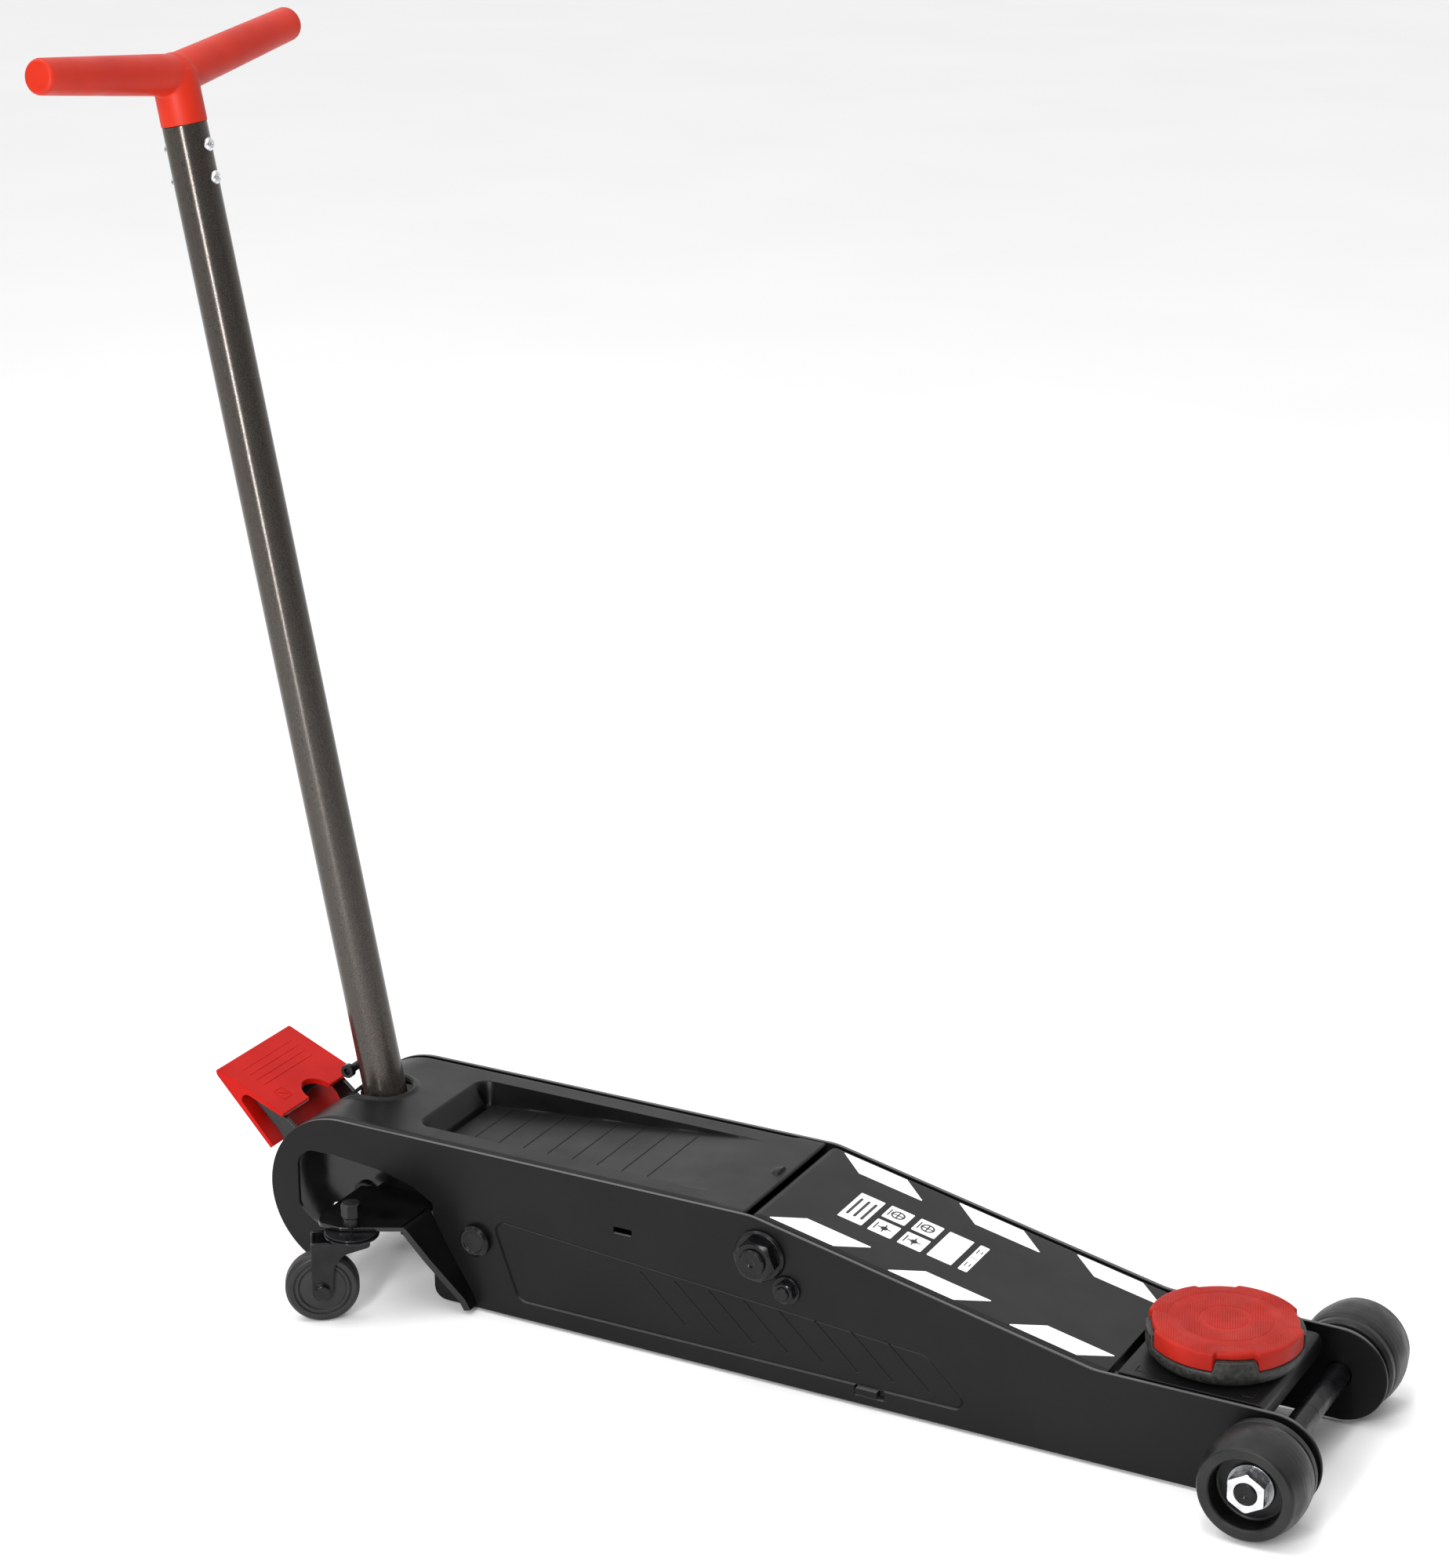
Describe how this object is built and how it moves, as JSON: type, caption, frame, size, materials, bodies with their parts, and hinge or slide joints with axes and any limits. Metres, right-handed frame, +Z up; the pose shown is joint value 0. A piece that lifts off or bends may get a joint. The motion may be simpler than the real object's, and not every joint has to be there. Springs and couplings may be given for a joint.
{
  "type": "trolley jack",
  "caption": "Long low hydraulic trolley jack with folded steel side plates, round saddle, front rollers, swivel casters, foot pedal and upright T-handle.",
  "frame": {"origin": "on the ground under the middle of the bounding box", "axes": "+X towards the saddle and front rollers, +Y to the left, +Z up"},
  "size_m": [1.1581, 0.3728, 1.1199],
  "materials": {
    "frame_paint": "satin black powder coat",
    "black_plastic": "fine grained satin moulding",
    "roller": "matt hard nylon",
    "caster_tyre": "matt",
    "casting": "black painted, rough cast",
    "handle_paint": "metallic grey-brown lacquer",
    "red_plastic": "semi-gloss moulding",
    "red_rubber": "matt, ribbed",
    "zinc": "bright zinc",
    "steel": "machined",
    "black_steel": "blackened"
  },
  "bodies": {
    "chassis": {"side_plate_right": "frame_paint", "side_plate_left": "frame_paint", "cross_brace": "frame_paint", "caster_bracket_right": "frame_paint", "caster_bracket_left": "frame_paint", "front_axle": "black_steel", "axle_washer_right": "zinc", "axle_washer_left": "zinc", "axle_nut_right": "zinc", "axle_nut_left": "zinc", "trunnion_pin": "black_steel", "pump_block": "casting", "reservoir": "frame_paint", "arm_pivot_shaft": "black_steel", "arm_pivot_nut_right": "black_steel", "arm_pivot_nut_left": "black_steel", "link_pivot_bolt_right": "black_steel", "link_pivot_bolt_left": "black_steel", "link_pivot_nut_right": "black_steel", "link_pivot_nut_left": "black_steel", "rear_cover": "black_plastic", "handle_pivot_pin": "steel", "pedal_spring": "steel", "handle_spring": "steel", "caster_stem_bolt_right": "steel", "caster_stem_bolt_left": "steel"},
    "lift_arm": {"lift_arm_right": "frame_paint", "lift_arm_left": "frame_paint", "lift_arm_hub": "frame_paint", "lift_arm_cover": "black_plastic", "saddle_hinge_pin": "steel"},
    "saddle_platform": {"saddle_platform": "frame_paint", "link_front_pin": "steel"},
    "saddle": {"saddle_cup": "casting", "saddle_pad": "red_rubber"},
    "parallel_links": {"parallel_link_right": "frame_paint", "parallel_link_left": "frame_paint"},
    "ram": {"ram_rod": "zinc", "ram_crosshead": "casting"},
    "handle_socket": {"handle_socket": "casting", "socket_clamp_bolt": "black_steel"},
    "handle": {"handle_tube": "handle_paint", "grip": "red_plastic", "grip_bolt_1": "zinc", "grip_bolt_2": "zinc", "grip_bolt_3": "zinc", "grip_bolt_4": "zinc"},
    "pump_plunger": {"pump_plunger": "steel"},
    "release_valve": {"release_valve_stem": "steel"},
    "foot_pedal": {"foot_pedal": "red_plastic", "pedal_arm": "frame_paint"},
    "front_wheel_right": {"front_wheel_right": "roller"},
    "front_wheel_left": {"front_wheel_left": "roller"},
    "caster_right": {"caster_fork_right": "black_steel", "caster_axle_bolt_right": "zinc"},
    "caster_left": {"caster_fork_left": "black_steel", "caster_axle_bolt_left": "zinc"},
    "caster_wheel_right": {"caster_wheel_right": "caster_tyre"},
    "caster_wheel_left": {"caster_wheel_left": "caster_tyre"}
  },
  "joints": [
    {"name": "lift", "type": "hinge", "parent": "chassis", "child": "lift_arm", "pos_m": [0.064, 0, 0.123], "axis": [0, -1, 0], "range_deg": [0, 65]},
    {"name": "saddle_level", "type": "hinge", "parent": "lift_arm", "child": "saddle_platform", "pos_m": [0.449, 0, 0.063], "axis": [0, -1, 0], "range_deg": [-65, 0]},
    {"name": "saddle_swivel", "type": "hinge", "parent": "saddle_platform", "child": "saddle", "pos_m": [0.459, 0, 0.09], "axis": [0, 0, 1], "continuous": true},
    {"name": "link_swing", "type": "hinge", "parent": "chassis", "child": "parallel_links", "pos_m": [0.09, 0, 0.096], "axis": [0, -1, 0], "range_deg": [0, 65]},
    {"name": "ram_stroke", "type": "slide", "parent": "chassis", "child": "ram", "axis": [1, 0, 0], "range_m": [0, 0.0638]},
    {"name": "pump_stroke", "type": "hinge", "parent": "chassis", "child": "handle_socket", "pos_m": [-0.358, 0, 0.078], "axis": [0, -1, 0], "range_deg": [0, 30], "stiffness_Nm_per_rad": 7, "springref_deg": -74.48},
    {"name": "plunger_stroke", "type": "slide", "parent": "chassis", "child": "pump_plunger", "axis": [1, 0, 0], "range_m": [0, 0.0218]},
    {"name": "handle_twist", "type": "hinge", "parent": "handle_socket", "child": "handle", "pos_m": [-0.358, 0, 0.078], "axis": [-0.1957, 0, 0.9807], "range_deg": [0, 180]},
    {"name": "release_turn", "type": "hinge", "parent": "chassis", "child": "release_valve", "pos_m": [-0.324, 0.028, 0.084], "axis": [1, 0, 0], "range_deg": [0, 180]},
    {"name": "pedal_press", "type": "hinge", "parent": "chassis", "child": "foot_pedal", "pos_m": [-0.358, 0, 0.078], "axis": [0, -1, 0], "range_deg": [0, 22], "stiffness_Nm_per_rad": 3, "springref_deg": -34.38},
    {"name": "front_spin_right", "type": "hinge", "parent": "chassis", "child": "front_wheel_right", "pos_m": [0.5333, -0.121, 0.0461], "axis": [0, 1, 0], "continuous": true},
    {"name": "front_spin_left", "type": "hinge", "parent": "chassis", "child": "front_wheel_left", "pos_m": [0.5333, 0.121, 0.0461], "axis": [0, 1, 0], "continuous": true},
    {"name": "caster_swivel_right", "type": "hinge", "parent": "chassis", "child": "caster_right", "pos_m": [-0.318, -0.146, 0.08], "axis": [0, 0, 1], "continuous": true},
    {"name": "caster_swivel_left", "type": "hinge", "parent": "chassis", "child": "caster_left", "pos_m": [-0.318, 0.146, 0.08], "axis": [0, 0, 1], "continuous": true},
    {"name": "caster_spin_right", "type": "hinge", "parent": "caster_right", "child": "caster_wheel_right", "pos_m": [-0.34121, -0.16166, 0.0335], "axis": [-0.5592, 0.829, 0], "continuous": true},
    {"name": "caster_spin_left", "type": "hinge", "parent": "caster_left", "child": "caster_wheel_left", "pos_m": [-0.34121, 0.13034, 0.0335], "axis": [-0.5592, 0.829, 0], "continuous": true}
  ],
  "couplings": [
    {"joint": "saddle_level", "follows": "lift", "ratio": -1},
    {"joint": "link_swing", "follows": "lift", "ratio": 1},
    {"joint": "ram_stroke", "follows": "lift", "m_per_rad": 0.05616},
    {"joint": "plunger_stroke", "follows": "pump_stroke", "m_per_rad": 0.0415},
    {"joint": "release_turn", "follows": "handle_twist", "ratio": 1}
  ]
}
